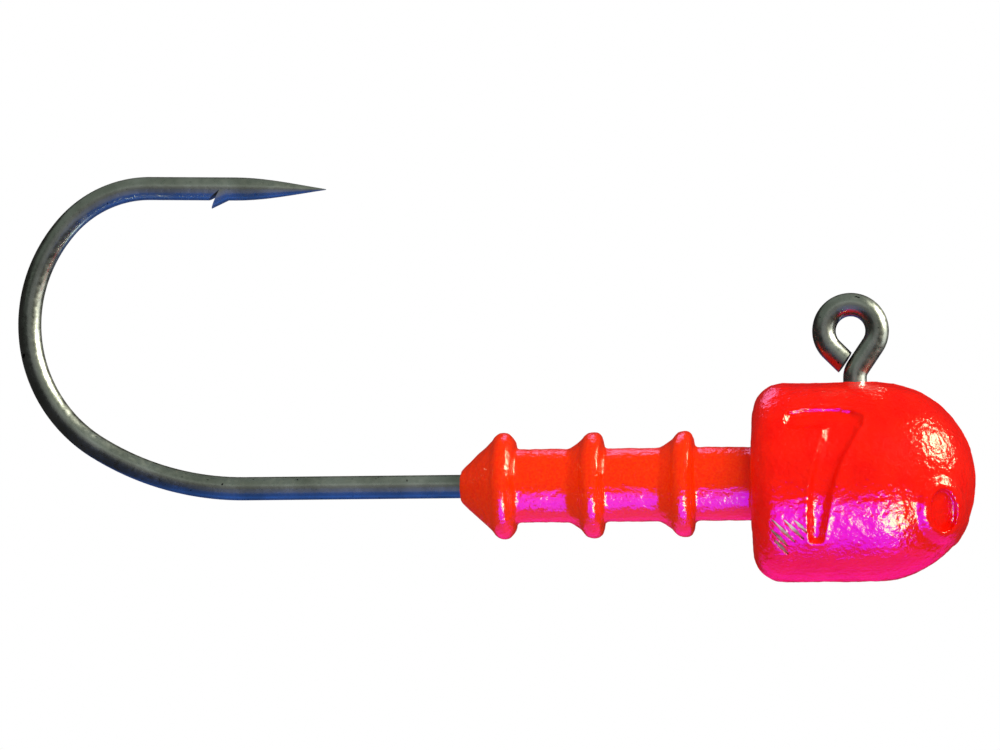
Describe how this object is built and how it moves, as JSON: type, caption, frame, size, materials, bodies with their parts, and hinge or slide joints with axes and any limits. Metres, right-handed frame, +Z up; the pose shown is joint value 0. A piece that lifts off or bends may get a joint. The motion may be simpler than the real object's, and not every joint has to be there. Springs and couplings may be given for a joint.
{
  "type": "jig head",
  "caption": "Round-nosed lead jig head cast on a barbed hook, with a line eye on top and a ribbed keeper for a soft bait.",
  "frame": {"origin": "on the hook shank's axis, at the head's flat back face", "axes": "+X forward along the shank to the nose, +Z up to the line eye and to the side the hook's point is on, +Y across the hook's plane"},
  "size_m": [0.0431, 0.0088, 0.0187],
  "materials": {
    "hook_steel": "black nickel, semi-gloss",
    "lead_alloy": "as cast, dull grey lead alloy",
    "red_lacquer": "glossy candy red over bright metal"
  },
  "bodies": {
    "root": {"hook": "hook_steel", "lead_casting": "lead_alloy", "lacquer_coat": "red_lacquer"}
  },
  "joints": []
}
